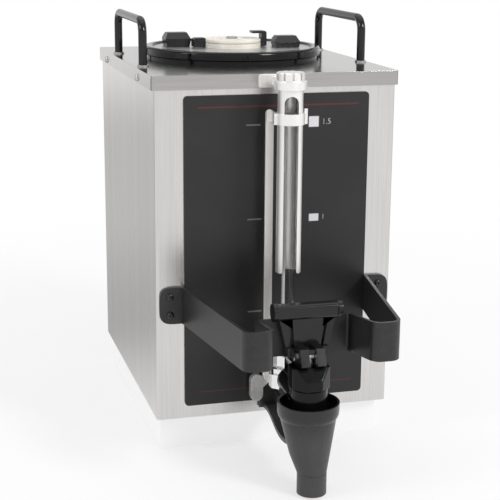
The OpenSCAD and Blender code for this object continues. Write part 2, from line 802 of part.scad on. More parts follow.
module tap_body() {
    color("#1a1a1b") difference() {
        union() {
            translate([0, tap_y, tap_bottom]) cylinder(r = tap_r, h = bonnet_z - run - tap_bottom);
            translate([0, tap_y, tap_bottom + cut]) cylinder(r = tap_neck_r, h = tap_top - tap_bottom - cut);
            translate([0, tap_y, tap_bottom - 4]) cylinder(r1 = spout_r, r2 = tap_r, h = 4);
            translate([0, tap_y, spout_bottom]) cylinder(r = spout_r, h = tap_bottom - spout_bottom);
            y_rod(nipple_r, tap_y, nipple_back_y, 0, shank_z);
            y_rod(inlet_r, tap_y, base_front_y, 0, shank_z);
        }
        translate([0, tap_y, seat_top]) cylinder(r = chamber_r, h = tap_top);
        translate([0, tap_y, spout_bottom - cut]) cylinder(r = cup_r - 3, h = seat_top);
        y_rod(flow_r, tap_y, nipple_back_y + cut, 0, shank_z);
    }
}

// Soft cup on the foot of the stem, which closes the seat
module seat_cup() {
    color("#d8d2c4") translate([0, tap_y, seat_top + run]) difference() {
        rotate_extrude() polygon([
            [0, 0], [cup_r - 2, 0], [cup_r, 2], [cup_r, 7], [6, 10], [6, 15], [0, 15]
        ]);
        translate([0, 0, 8]) cylinder(r = stem_r + fit, h = 8, $fn = 32);
    }
}

module tap_stem() {
    foot_z = seat_top + run + 8.2;
    color("#b4b4b2") translate([0, tap_y, 0]) difference() {
        union() {
            translate([0, 0, foot_z]) cylinder(r = stem_r, h = pin_z - foot_z, $fn = 32);
            translate([0, 0, pin_z]) x_rod(stem_r + 0.8, 2 * (cheek_x - run), $fn = 48);
        }
        translate([0, 0, pin_z]) x_rod(pin_r + 0.05, 20, $fn = 48);
    }
}

// Eight-sided cap nut, sloped at the front, that holds the stem upright
module tap_bonnet() {
    slope_z = 70;
    slope_d = 8;
    front = -bonnet_w / 2;
    color("#212122") translate([0, tap_y, 0]) difference() {
        translate([0, 0, bonnet_z]) linear_extrude(bonnet_top - bonnet_z)
            polygon([for (i = [0 : 7]) bonnet_w / 2 / cos(22.5) * [cos(45 * i + 22.5), sin(45 * i + 22.5)]]);
        translate([-bonnet_w, 0, 0]) rotate([90, 0, 90]) linear_extrude(2 * bonnet_w) polygon([
            [front - cut, slope_z], [front, slope_z], [front + slope_d, bonnet_top],
            [front + slope_d, bonnet_top + cut], [front - cut, bonnet_top + cut]
        ]);
        translate([0, 0, bonnet_z - cut]) cylinder(r = tap_neck_r + fit, h = tap_top - bonnet_z + cut);
        translate([0, 0, tap_top - cut]) cylinder(r = 8, h = bonnet_top - tap_top - 3 + cut);
        translate([0, 0, bonnet_z]) cylinder(r = stem_r + 0.05, h = bonnet_top, $fn = 48);
    }
}

// Foot of the lever: an involute cam that bears on the bonnet as the stem lifts
module lever_cam() {
    steps = 8;
    rate = (stem_lift - 0.5) / lever_angle * 180 / PI;
    polygon(concat(
        [for (i = [0 : steps]) let (a = 90 - 90 * i / steps) [cam_r * sin(a), -cam_r * cos(a)]],
        [for (i = [0 : steps]) let (a = lever_angle * i / steps, h = cam_r + rate * a * PI / 180)
            [-h * sin(a) - rate * cos(a), -h * cos(a) + rate * sin(a)]],
        [[-8, 8], [cam_r, 8]]
    ));
}

module tap_lever() {
    root_z = pin_z + 3;
    bar_z = lever_top - lever_bar_h;
    bar_mid = lever_top - lever_bar_h / 2;
    rim_r = 8;
    rim_t = 4;
    blade = [6, 14];
    color("#1f1f20") translate([0, tap_y, 0]) difference() {
        union() {
            for (x = [-1, 1]) translate([x * (cheek_x + cheek_w / 2), 0, pin_z]) rotate([90, 0, 90])
                linear_extrude(cheek_w, center = true) lever_cam();
            block([-cheek_x - 1, -7.5, pin_z + 2.5], [cheek_x + 1, -4.5, pin_z + 7]);
            front_plate(blade[0], blade[1])
                polygon([[-18.5, root_z], [18.5, root_z], [26, bar_z + 3], [-26, bar_z + 3]]);
            front_plate(blade[0] - 1, blade[1] - 1)
                polygon([[-12, root_z - 1], [12, root_z - 1], [14, bar_z + 2], [-14, bar_z + 2]]);
            translate([0, lever_bar_y, bar_mid]) rotate([90, 0, 90])
                linear_extrude(lever_bar_w - rim_t, center = true) round_rect(lever_bar_d, lever_bar_h, 4);
            for (x = [-1, 1])
                translate([x * (lever_bar_w - rim_t) / 2, lever_bar_y, bar_mid]) x_rod(rim_r, rim_t);
            // shoulders at the lever's root, behind the pin's heads
            for (x = [-1, 1]) translate([x * 14.25, (blade[1] + 3.5) / 2, pin_z + 2])
                cube([8.5, blade[1] - 3.5, 8], center = true);
        }
        translate([0, 0, pin_z]) x_rod(pin_r + fit, 60, $fn = 48);
        block([-cheek_x, -20, pin_z - 20], [cheek_x, 5.5, pin_z + 2.5]);
        block([-cheek_x, -4.5, pin_z], [cheek_x, 5.5, pin_z + 6.5]);
        // grooves beside the raised middle of the lever
        for (x = [-1, 1]) front_plate(blade[0] - 2, blade[0] + 3)
            polygon([[x * 12, root_z + 3], [x * 14.5, root_z + 3], [x * 18.6, bar_z], [x * 14, bar_z]]);
    }
}

module lever_pin() {
    head_r = 3;
    head_t = 1.2;
    end_x = cheek_x + cheek_w;
    color("#bdbdbb") translate([0, tap_y, pin_z]) {
        x_rod(pin_r, 2 * (end_x + head_t / 2), $fn = 48);
        for (x = [-1, 1]) translate([x * (end_x + head_t / 2), 0, 0]) x_rod(head_r, head_t, $fn = 48);
    }
}

// --- spout guard ---

// Round section of the guard at a height, moved forward from the tap's axis
module guard_disc(r, z, forward) {
    translate([0, tap_y - forward, z]) cylinder(r = r, h = 0.02, $fn = 40);
}

// Solid funnel, smaller than the outside by an inset
module guard_funnel(inset) {
    bowl_h = mouth_z - bowl_z;
    throat_out = outlet_out * 0.45;
    over = inset > 0 ? cut : 0;
    lap = 3;
    translate([0, tap_y, bowl_z]) rotate_extrude($fn = 80) polygon(concat(
        [[0, 0]],
        [for (p = bezier([[bowl_r, 0], [bowl_r + 3, 5], [guard_mouth_r, 5], [guard_mouth_r, bowl_h - 4]], 8))
            [p.x - inset, p.y]],
        [[guard_mouth_r - inset, bowl_h + over], [0, bowl_h + over]]
    ));
    hull() {
        guard_disc(bowl_r + lap / 2 - inset, bowl_z + lap, 0);
        guard_disc(throat_r - inset, throat_z, throat_out);
    }
    hull() {
        guard_disc(throat_r - inset, throat_z, throat_out);
        guard_disc(outlet_r - run - inset, tube_z, outlet_out);
    }
    translate([0, tap_y - outlet_out, -outlet_drop - over])
        cylinder(r = outlet_r - inset, h = outlet_drop + over + tube_z + cut);
}

module spout_guard() {
    eye_w = 31.2;
    // underside of the arm from the cabinet to the funnel, in the YZ plane
    arm_low = bezier([[guard_plate_y + 1, 5], [front_y - 36, 12], [front_y - 42, -14], [tap_y + 17, 0]], 14);
    color("#191919") difference() {
        union() {
            guard_funnel(0);
            front_plate(guard_plate_y, panel_y) {
                translate([0, shank_z]) circle(eye_w / 2);
                translate([-eye_w / 2, 5]) square([eye_w, shank_z - 5]);
            }
            translate([-arm_w / 2, 0, 0]) rotate([90, 0, 90]) linear_extrude(arm_w)
                polygon(concat(arm_low, [for (i = [14 : -1 : 0]) arm_low[i] + [0, arm_t]]));
            translate([-1.5, 0, 0]) rotate([90, 0, 90]) linear_extrude(3)
                polygon(concat(arm_low, [[tap_y + 17, 18], [guard_plate_y + 1, 22]]));
        }
        guard_funnel(guard_wall);
        y_rod(shank_r + run, guard_plate_y - cut, panel_y + cut, 0, shank_z);
        // notch in the mouth for the tap's inlet
        y_rod(inlet_r + run, tap_y, tap_y + guard_mouth_r + cut, 0, shank_z);
        block([-inlet_r - run, tap_y, shank_z], [inlet_r + run, tap_y + guard_mouth_r + cut, mouth_z + 5]);
    }
}

// --- guard band ---

function unit(v) = v / norm(v);

// Points that round corner i of a path by the radius in its third value
function rounded(path, i, steps = 6) = let (
        p = path[i], point = [p.x, p.y],
        a = unit([path[i - 1].x, path[i - 1].y] - point), b = unit([path[i + 1].x, path[i + 1].y] - point),
        half = acos(a * b) / 2, centre = point + unit(a + b) * p.z / sin(half),
        start = point + a * p.z / tan(half) - centre, end = point + b * p.z / tan(half) - centre,
        turn = start.x * end.y - start.y * end.x > 0 ? 1 : -1, sweep = (180 - 2 * half) * turn
    ) [for (k = [0 : steps]) let (w = sweep * k / steps)
        centre + [start.x * cos(w) - start.y * sin(w), start.x * sin(w) + start.y * cos(w)]];

// Left-hand normal of a line of points at one of them
function normal_at(line, i) = let (
        last = len(line) - 1, t = unit(line[min(i + 1, last)] - line[max(i - 1, 0)])
    ) [-t.y, t.x];

// Half of the band's centre line, from its middle to its pad
half_line = concat(
    [[0, band_path[0].y]],
    [for (i = [1 : len(band_path) - 2]) each rounded(band_path, i)],
    [[pad_in_x, 0]]
);
full_line = concat(
    [for (i = [len(half_line) - 1 : -1 : 1]) [-half_line[i].x, half_line[i].y]],
    half_line
);

module band_strap() {
    side = band_t / 2;
    last = len(full_line) - 1;
    polygon(concat(
        [for (i = [0 : last]) full_line[i] + normal_at(full_line, i) * side],
        [for (i = [last : -1 : 0]) full_line[i] - normal_at(full_line, i) * side]
    ));
}

// Side view of the band from its noses back to a place, extruded along X
module band_side(y_back, z_back, x_low, x_high) {
    z_nose = pad_z - nose_drop;
    y_nose = front_y - band_out;
    h = band_h / 2;
    translate([x_low, 0, 0]) rotate([90, 0, 90]) linear_extrude(x_high - x_low) polygon([
        [y_nose - band_t, z_nose - h], [y_nose + band_t, z_nose - h], [y_back, z_back - h],
        [y_back, z_back + h], [y_nose + band_t, z_nose + h], [y_nose - band_t, z_nose + h]
    ]);
}

module guard_band() {
    root_y = front_y - band_t / 2;
    nose_mid = (nose_x[0] + nose_x[1]) / 2;
    middle_z = pad_z - nose_drop - middle_drop;
    color("#19191a") difference() {
        union() {
            intersection() {
                translate([0, front_y, pad_z]) linear_extrude(2 * band_h, center = true) band_strap();
                union() {
                    band_side(front_y + middle_y + band_t, middle_z, -nose_mid, nose_mid);
                    for (x = [nose_mid - 1, -body_w]) band_side(root_y, pad_z, x, x + body_w - nose_mid + 1);
                }
            }
            for (x = [-1, 1]) front_plate(front_y - band_t, front_y) intersection() {
                translate([x * (pad_end_x - pad_r), pad_z]) circle(pad_r);
                translate([x * (pad_root_x + pad_r), pad_z]) square(2 * pad_r, center = true);
            }
            for (x = [-1, 1]) front_plate(front_y - band_t, front_y)
                translate([x * (pad_root_x + 4), pad_z]) square([8, band_h + 1], center = true);
        }
        for (x = [-1, 1], z = [-1, 1])
            y_rod(screw_r + fit, front_y - band_t - cut, front_y + cut,
                x * band_screw_x, pad_z + z * band_screw_gap / 2);
    }
}

module guard_screws() {
    color("#303032") for (x = [-1, 1], z = [-1, 1])
        translate([x * band_screw_x, front_y - band_t, pad_z + z * band_screw_gap / 2]) rotate([90, 0, 0]) {
            cylinder(r1 = screw_head_r, r2 = screw_head_r - 1.2, h = screw_head_t, $fn = 32);
            translate([0, 0, -band_t - 6]) cylinder(r = screw_r, h = band_t + 6, $fn = 24);
        }
}

body_shell();
base_pan();
top_cover();
front_panel();
cover_screws();
handle_left();
handle_right();
handle_washers();
handle_nuts();
tank_liner();
insulation();
outlet_boss();
lid_collar();
lid_plate();
lid_gasket();
lid_grip_left();
lid_grip_right();
lid_grip_nuts();
brew_port();
port_clamp_ring();
port_dial();
dial_pivot();
dial_lug();
dial_hook();
tap_shank();
shank_seal();
shank_jam_nut();
wing_nut();
gauge_stay();
gauge_clip();
gauge_base();
gauge_packing_nut();
gauge_seals();
gauge_glass();
gauge_shield();
gauge_top_bracket();
gauge_cap();
tap_body();
seat_cup();
tap_stem();
tap_bonnet();
tap_lever();
lever_pin();
spout_guard();
guard_band();
guard_screws();
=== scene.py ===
"""Insulated coffee server: stainless cabinet, brew-through lid, lever tap and sight gauge.

Metres, +Z up, the front faces -Y, the origin is the centre of the base's underside.
"""

import json
import math

import bmesh
import bpy
from mathutils import Matrix, Vector

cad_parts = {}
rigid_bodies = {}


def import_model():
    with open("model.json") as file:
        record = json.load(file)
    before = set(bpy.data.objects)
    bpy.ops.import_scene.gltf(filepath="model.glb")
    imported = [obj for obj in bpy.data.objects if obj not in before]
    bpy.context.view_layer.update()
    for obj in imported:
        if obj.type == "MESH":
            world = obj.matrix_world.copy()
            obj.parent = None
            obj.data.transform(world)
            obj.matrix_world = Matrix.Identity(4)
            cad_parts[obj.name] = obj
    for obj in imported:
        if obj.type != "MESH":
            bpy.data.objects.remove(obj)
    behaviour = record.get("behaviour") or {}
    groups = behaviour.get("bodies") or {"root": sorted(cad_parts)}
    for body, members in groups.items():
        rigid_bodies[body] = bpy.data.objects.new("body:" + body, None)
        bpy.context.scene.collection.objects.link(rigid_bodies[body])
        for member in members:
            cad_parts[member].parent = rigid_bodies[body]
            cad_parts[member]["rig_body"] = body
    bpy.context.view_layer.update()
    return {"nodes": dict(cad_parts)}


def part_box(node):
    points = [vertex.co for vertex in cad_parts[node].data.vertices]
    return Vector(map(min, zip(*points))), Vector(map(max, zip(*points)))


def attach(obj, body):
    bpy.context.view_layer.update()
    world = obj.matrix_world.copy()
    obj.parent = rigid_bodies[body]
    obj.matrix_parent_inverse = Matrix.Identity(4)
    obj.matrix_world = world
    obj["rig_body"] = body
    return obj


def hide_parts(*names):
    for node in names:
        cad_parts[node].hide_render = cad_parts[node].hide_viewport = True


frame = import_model()

# --- Camera and room ---------------------------------------------------------
# A long lens a little to the left of the server and above its lid. The room is
# a pale floor with a pale stand under the cabinet, since the spout guard hangs
# below the cabinet's base, and soft panels of light.

LENS = 92.44
CAMERA_PLACE = (-0.3329, -1.2496, 0.4464)
YAW_PITCH_ROLL = (15.55, 14.05, 0.42)

camera_data = bpy.data.cameras.new("camera")
camera_data.sensor_width = 36.0
camera_data.lens = LENS
camera_data.clip_start = 0.05
camera_data.clip_end = 60.0
camera = bpy.data.objects.new("camera", camera_data)
yaw, pitch, roll = (math.radians(degrees) for degrees in YAW_PITCH_ROLL)
look = Vector((math.sin(yaw) * math.cos(pitch), math.cos(yaw) * math.cos(pitch), -math.sin(pitch)))
level_right = Vector((math.cos(yaw), -math.sin(yaw), 0.0))
level_up = level_right.cross(look)
camera_right = math.cos(roll) * level_right + math.sin(roll) * level_up
camera_up = math.cos(roll) * level_up - math.sin(roll) * level_right
turn = Matrix((camera_right, camera_up, -look)).transposed()
camera.matrix_world = Matrix.Translation(CAMERA_PLACE) @ turn.to_4x4()
bpy.context.scene.collection.objects.link(camera)
bpy.context.scene.camera = camera
bpy.context.scene.view_settings.view_transform = "Standard"


class Wire:
    """A shader socket that can stand in a sum, and that adds nodes behind itself."""

    def __init__(self, tree, socket=None):
        self.tree = tree
        self.socket = socket

    def node(self, kind, settings=None, inputs=None, output=0):
        """Adds a node: its settings first, then the values or links of its sockets."""
        made = self.tree.nodes.new("ShaderNode" + kind)
        for name, value in (settings or {}).items():
            if name == "stops":
                elements = made.color_ramp.elements
                while len(elements) < len(value):
                    elements.new(0.5)
                for element, (place, tone) in zip(elements, value):
                    element.position = place
                    element.color = (tone, tone, tone, 1.0)
            else:
                setattr(made, name, value)
        for name, value in (inputs or {}).items():
            if isinstance(value, Wire):
                self.tree.links.new(value.socket, made.inputs[name])
            elif value is not None:
                made.inputs[name].default_value = value
        return Wire(self.tree, made.outputs[output]) if made.outputs else None

    def math(self, operation, *others, clamp=False):
        inputs = {0: self}
        inputs.update({i + 1: other for i, other in enumerate(others)})
        return self.node("Math", {"operation": operation, "use_clamp": clamp}, inputs)

    def __add__(self, other):
        return self.math("ADD", other)

    def __mul__(self, other):
        return self.math("MULTIPLY", other)

    def __sub__(self, other):
        return self.math("SUBTRACT", other)

    def __rsub__(self, other):
        return self.node("Math", {"operation": "SUBTRACT"}, {0: other, 1: self})

    def step(self, low, high):
        """0 below low, 1 above high, and a smooth ramp between."""
        return self.node("MapRange", {"interpolation_type": "SMOOTHSTEP"},
                         {"Value": self, "From Min": low, "From Max": high})

    def mix(self, first, second):
        """Blends two colours by this value."""
        return self.node("Mix", {"data_type": "RGBA"}, {0: self, 6: first, 7: second}, output=2)

    def noise(self, scale, stretch=(1.0, 1.0, 1.0), detail=3.0, rough=0.5):
        """Noise on this vector, stretched along the axes."""
        placed = self.node("Mapping", None, {"Vector": self, "Scale": stretch})
        return placed.node("TexNoise", None,
                           {"Vector": placed, "Scale": scale, "Detail": detail, "Roughness": rough})

    def axis(self, index):
        return self.node("SeparateXYZ", None, {0: self}, output=index)


def new_world_white():
    """Plain studio: white behind and in reflections, a soft level of light on the object."""
    world = bpy.data.worlds.new("studio")
    world.use_nodes = True
    tree = world.node_tree
    tree.nodes.clear()
    start = Wire(tree)
    camera_ray = start.node("LightPath", output=0)
    glossy_ray = Wire(tree, camera_ray.socket.node.outputs["Is Glossy Ray"])
    clear_ray = Wire(tree, camera_ray.socket.node.outputs["Is Transmission Ray"])
    seen = (camera_ray + clear_ray).math("MAXIMUM", 0.0, clamp=True)
    plain = start.node("Background", None, {"Color": (1.0, 1.0, 1.0, 1.0), "Strength": 0.55})
    # the upper room that metal reflects is greyer than the floor near the object
    height = start.node("TexCoord", output=0).axis(2)
    greys = [(0.0, 0.95), (0.50, 0.93), (0.58, 0.84), (0.70, 0.62), (1.0, 0.60)]
    tone = start.node("ValToRGB", {"stops": greys}, {0: height * 0.5 + 0.5})
    mirrored = start.node("Background", None, {"Color": tone, "Strength": 1.0})
    white = start.node("Background", None, {"Color": (1.0, 1.0, 1.0, 1.0), "Strength": 1.0})
    lit = start.node("MixShader", None, {0: glossy_ray, 1: plain, 2: mirrored})
    both = start.node("MixShader", None, {0: seen, 1: lit, 2: white})
    start.node("OutputWorld", None, {0: both})
    bpy.context.scene.world = world


new_world_white()


def panel_light(name, place, aim, size, power):
    """Rectangular soft white light that faces a point."""
    data = bpy.data.lights.new(name, "AREA")
    data.shape = "RECTANGLE"
    data.size, data.size_y = size
    data.energy = power
    lamp = bpy.data.objects.new(name, data)
    toward = (Vector(aim) - Vector(place)).to_track_quat("-Z", "Y")
    lamp.matrix_world = Matrix.Translation(place) @ toward.to_matrix().to_4x4()
    bpy.context.scene.collection.objects.link(lamp)


panel_light("key", place=(1.2, -1.8, 1.5), aim=(0.0, 0.0, 0.15), size=(0.55, 0.55), power=30.0)
panel_light("fill", place=(-1.9, -0.5, 1.4), aim=(0.0, 0.0, 0.15), size=(0.7, 0.7), power=10.0)
panel_light("top", place=(0.0, 0.4, 2.2), aim=(0.0, 0.0, 0.2), size=(2.4, 2.4), power=15.0)


def stage_block(name, low, high, material):
    """Pale block of the studio, not a piece of the server."""
    block = bmesh.new()
    bmesh.ops.create_cube(block, size=1.0)
    middle = (Vector(low) + Vector(high)) / 2
    extent = Vector(high) - Vector(low)
    bmesh.ops.scale(block, vec=extent, verts=block.verts)
    bmesh.ops.translate(block, vec=middle, verts=block.verts)
    mesh = bpy.data.meshes.new(name)
    block.to_mesh(mesh)
    block.free()
    piece = bpy.data.objects.new(name, mesh)
    piece.data.materials.append(material)
    bpy.context.scene.collection.objects.link(piece)


def studio_floor():
    """White floor: what the camera sees is nearly white and keeps the object's shadow."""
    material = bpy.data.materials.new("studio_floor")
    material.use_nodes = True
    tree = material.node_tree
    tree.nodes.clear()
    start = Wire(tree)
    matte = start.node("BsdfDiffuse", None, {"Color": (0.9, 0.9, 0.9, 1.0)})
    glow = start.node("Emission", None, {"Color": (1.0, 1.0, 1.0, 1.0), "Strength": 1.0})
    place = start.node("TexCoord", output=3)
    level = place.node("VectorMath", {"operation": "MULTIPLY"}, {0: place, 1: (1.0, 1.0, 0.0)})
    away = level.node("VectorMath", {"operation": "LENGTH"}, {0: level}, output=1)
    camera_ray = start.node("LightPath", output=0)
    glossy_ray = Wire(tree, camera_ray.socket.node.outputs["Is Glossy Ray"])
    clear_ray = Wire(tree, camera_ray.socket.node.outputs["Is Transmission Ray"])
    seen = (camera_ray + glossy_ray + clear_ray).math("MAXIMUM", 0.0, clamp=True)
    # behind the object the room that metal reflects is greyer
    grey_from, grey_to = (-0.15, 0.30), (1.8, 3.6)
    y = place.axis(1)
    behind = y.step(*grey_from) * (1 - y.step(*grey_to)) * glossy_ray
    share = seen * (away.step(0.25, 1.0) * 0.35 + 0.65) * (1 - behind * 0.48)
    dim = start.node("BsdfDiffuse", None, {"Color": (0.30, 0.30, 0.30, 1.0)})
    under = start.node("MixShader", None, {0: behind, 1: matte, 2: dim})
    both = start.node("MixShader", None, {0: share, 1: under, 2: glow})
    start.node("OutputMaterial", None, {0: both})
    return material


FLOOR_TOP = -0.035
floor_finish = studio_floor()
stage_block("floor", (-14.0, -9.0, -0.055), (14.0, 16.0, FLOOR_TOP), floor_finish)
stage_block("stand", (-0.108, -0.128, FLOOR_TOP), (0.108, 0.14, -0.0003), floor_finish)

# --- Cabinet ----------------------------------------------------------------
# The shell is one folded sheet of stainless with its grain running up and
# down. The cover is a pan of the same sheet, polished almost to a mirror, that
# drops over it and is held by four side screws.


def finish(name, color, metallic, roughness, **constants):
    """New material: returns it, its shader's tree as a wire, and the object's coordinates."""
    material = bpy.data.materials.new(name)
    material.use_nodes = True
    tree = material.node_tree
    shader = tree.nodes["Principled BSDF"]
    values = {"Base Color": (*color, 1.0), "Metallic": metallic, "Roughness": roughness}
    values.update({key.replace("_", " "): value for key, value in constants.items()})
    for key, value in values.items():
        shader.inputs[key].default_value = value
    return material, shader, Wire(tree).node("TexCoord", output=3)


def plug(shader, **wires):
    """Links wires to the shader's sockets by name."""
    for name, wire in wires.items():
        wire.tree.links.new(wire.socket, shader.inputs[name.replace("_", " ")])


def bump(wire, strength, distance):
    """Normal from a height."""
    return wire.node("Bump", None, {"Strength": strength, "Distance": distance, "Height": wire})


def tone_of(wire, low, high, dark, light):
    """Colour between two tones as a value goes from low to high."""
    return wire.step(low, high).mix((*dark, 1.0), (*light, 1.0))


def dress(node, material):
    """Gives a CAD node its finish."""
    slots = frame["nodes"][node].data.materials
    slots.clear()
    slots.append(material)


def steel(name, dark, light, roughness, grain, depth=0.35, metallic=1.0):
    """Stainless with grain along one axis, faint smears and fine scratches."""
    material, shader, place = finish(name, light, metallic, roughness)
    lines = place.noise(900.0, grain, detail=4.0, rough=0.65)
    bands = place.noise(60.0, tuple(g * 0.9 for g in grain), detail=3.0)
    smears = place.noise(9.0, detail=4.0, rough=0.6)
    color = tone_of(lines * 0.5 + bands * 0.3 + smears * 0.2, 0.32, 0.66, dark, light)
    plug(shader, Base_Color=color, Roughness=lines * 0.12 + smears * 0.10 + (roughness - 0.11),
         Normal=bump(lines, depth, 0.00006))
    return material


SHARP_ABOVE = math.radians(35.0)
SAME_PLACE = 0.00001


def settle(shape, name, body, material, node):
    """Turns a bmesh into a piece that rides on a body and stands for one or more CAD nodes."""
    mesh = bpy.data.meshes.new(name)
    shape.to_mesh(mesh)
    shape.free()
    for face in mesh.polygons:
        face.use_smooth = True
    mesh.set_sharp_from_angle(angle=SHARP_ABOVE)
    piece = bpy.data.objects.new(name, mesh)
    piece.data.materials.append(material)
    bpy.context.scene.collection.objects.link(piece)
    shading = piece.modifiers.new("even_shading", "WEIGHTED_NORMAL")
    shading.keep_sharp = True
    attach(piece, body)
    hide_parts(*([node] if isinstance(node, str) else node))


def softened(node, name, material, width, where=None, corner=30.0, form=None):
    """Copy of a CAD node, reshaped by form() if given, with its sharp edges rounded over."""
    source = frame["nodes"][node]
    shape = bmesh.new()
    shape.from_mesh(source.data)
    bmesh.ops.remove_doubles(shape, verts=shape.verts, dist=SAME_PLACE)
    flat = math.radians(0.3)
    bmesh.ops.dissolve_limit(shape, angle_limit=flat, verts=shape.verts, edges=shape.edges)
    if form:
        form(shape)
    edges = [edge for edge in shape.edges if len(edge.link_faces) == 2
             and edge.calc_face_angle(0.0) > math.radians(corner)
             and (where is None or where(edge))]
    bmesh.ops.bevel(shape, geom=edges, offset=width, offset_type="OFFSET", segments=3, profile=0.5,
                    affect="EDGES", clamp_overlap=True, material=-1)
    settle(shape, name, source["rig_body"], material, node)


UP_AND_DOWN = (1.0, 1.0, 0.012)
LEFT_TO_RIGHT = (0.012, 1.0, 1.0)
NO_GRAIN = (1.0, 1.0, 1.0)
shell_steel = steel("brushed_stainless", (0.60, 0.588, 0.578), (0.69, 0.674, 0.662), 0.25,
                    UP_AND_DOWN, depth=0.2)
cover_steel = steel("polished_stainless", (0.385, 0.374, 0.367), (0.455, 0.442, 0.434), 0.15,
                    LEFT_TO_RIGHT, depth=0.15)
mill_steel = steel("stainless_dull", (0.36, 0.36, 0.355), (0.50, 0.50, 0.49), 0.42, LEFT_TO_RIGHT)
screw_steel = steel("screw_steel", (0.42, 0.41, 0.40), (0.60, 0.59, 0.57), 0.28,
                    NO_GRAIN, depth=0.15)
dress("body_shell", shell_steel)
cover_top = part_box("top_cover")[1][2]
MOUTH_CIRCLE = 0.110


def outer_top_edge(edge):
    """True on the cover's top face, outside the circle that holds the mouth's edge."""
    return all(vert.co.z > cover_top - SAME_PLACE
               and math.hypot(vert.co.x, vert.co.y) > MOUTH_CIRCLE for vert in edge.verts)


softened("top_cover", "cover_pan", cover_steel, 0.0011, where=outer_top_edge)
for hidden in ("base_pan", "tank_liner", "outlet_boss"):
    dress(hidden, mill_steel)
for fastener in ("handle_washers", "handle_nuts", "lid_grip_nuts", "dial_pivot",
                 "shank_jam_nut", "lever_pin"):
    dress(fastener, screw_steel)

SCREW_HEAD = 0.0035
SCREW_RISE = 0.002
SCREW_SHANK = 0.0016
# As shares of the head's radius and rise: the rings of its dome, and the cross in it.
SCREW_DOME = ((1.0, 0.0), (0.98, 0.40), (0.84, 0.78), (0.58, 0.97))
CROSS_ARM = 0.42
CROSS_HALF_WIDTH = 0.11
CROSS_TAPER = 0.55
CROSS_DEPTH = 0.55


def corners_in(geometry):
    """The vertices among what an operator gives back."""
    return [item for item in geometry if isinstance(item, bmesh.types.BMVert)]


def edges_between(geometry, verts):
    """The edges among what an operator gives back that lie between these vertices."""
    return [item for item in geometry if isinstance(item, bmesh.types.BMEdge)
            and all(vert in verts for vert in item.verts)]


def drive_screw(shape, place, way, length):
    """Domed head with a cross recess, and its shank, pointing along way."""
    radius, height = SCREW_HEAD, SCREW_RISE
    made = []
    rings = []
    for share, rise in SCREW_DOME:
        ring = bmesh.ops.create_circle(shape, segments=24, radius=radius * share)["verts"]
        bmesh.ops.translate(shape, vec=(0.0, 0.0, rise * height), verts=ring)
        rings.append(list({edge for vert in ring for edge in vert.link_edges}))
        made += ring
    arm, half = radius * CROSS_ARM, radius * CROSS_HALF_WIDTH
    top = height * SCREW_DOME[-1][1]
    outline = ((arm, -half), (arm, half), (half, half), (half, arm),
               (-half, arm), (-half, half), (-arm, half), (-arm, -half),
               (-half, -half), (-half, -arm), (half, -arm), (half, -half))
    cross = [shape.verts.new((x, y, top)) for x, y in outline]
    cross_edges = [shape.edges.new((a, b)) for a, b in zip(cross, cross[1:] + cross[:1])]
    bmesh.ops.triangle_fill(shape, use_beauty=True, edges=rings[-1] + cross_edges)
    for lower, upper in zip(rings, rings[1:]):
        bmesh.ops.bridge_loops(shape, edges=lower + upper)
    sunk = bmesh.ops.extrude_edge_only(shape, edges=cross_edges)["geom"]
    sunk_verts = corners_in(sunk)
    bmesh.ops.scale(shape, vec=(CROSS_TAPER, CROSS_TAPER, 1.0), verts=sunk_verts)
    bmesh.ops.translate(shape, vec=(0.0, 0.0, -height * CROSS_DEPTH), verts=sunk_verts)
    bmesh.ops.triangle_fill(shape, use_beauty=True, edges=edges_between(sunk, sunk_verts))
    neck = bmesh.ops.extrude_edge_only(shape, edges=rings[0])["geom"]
    neck_verts = corners_in(neck)
    bmesh.ops.scale(shape, vec=(SCREW_SHANK / radius, SCREW_SHANK / radius, 1.0), verts=neck_verts)
    tip = bmesh.ops.extrude_edge_only(shape, edges=edges_between(neck, neck_verts))["geom"]
    tip_verts = corners_in(tip)
    bmesh.ops.translate(shape, vec=(0.0, 0.0, -length), verts=tip_verts)
    shape.faces.new(sorted(tip_verts, key=lambda v: math.atan2(v.co.y, v.co.x)))
    made += cross + sunk_verts + neck_verts + tip_verts
    turned = Vector(way).to_track_quat("Z", "Y").to_matrix().to_4x4()
    bmesh.ops.transform(shape, matrix=Matrix.Translation(place) @ turned, verts=made)


low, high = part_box("cover_screws")
side_screws = bmesh.new()
for side in (-1, 1):
    for along in (low.y + SCREW_HEAD, high.y - SCREW_HEAD):
        place = (side * (high.x - SCREW_RISE), along, (low.z + high.z) / 2)
        drive_screw(side_screws, place, way=(side, 0, 0), length=0.007)
bmesh.ops.recalc_face_normals(side_screws, faces=side_screws.faces)
settle(side_screws, "side_screws", "server", screw_steel, "cover_screws")

# --- Front panel ------------------------------------------------------------
# A charcoal film with a satin face. Printed on it are two thin red lines, the
# gauge's dashes on the left and two pale squares with their volumes on the right.
# Each mark is given by its left and right, and by its bottom and top.

DASHES = ((-0.0295, -0.0164, 0.2744, 0.2756),
          (-0.0280, -0.0146, 0.1874, 0.1886),
          (-0.0270, -0.0137, 0.0994, 0.1006))
SQUARES = ((0.0295, 0.0390, 0.2716, 0.2812),
           (0.0312, 0.0404, 0.1836, 0.1904))
RED_LINES = ((-0.074, 0.077, 0.2912, 0.2926),
             (-0.074, 0.077, 0.0246, 0.0254))
MARK_SOFTNESS = 0.0004


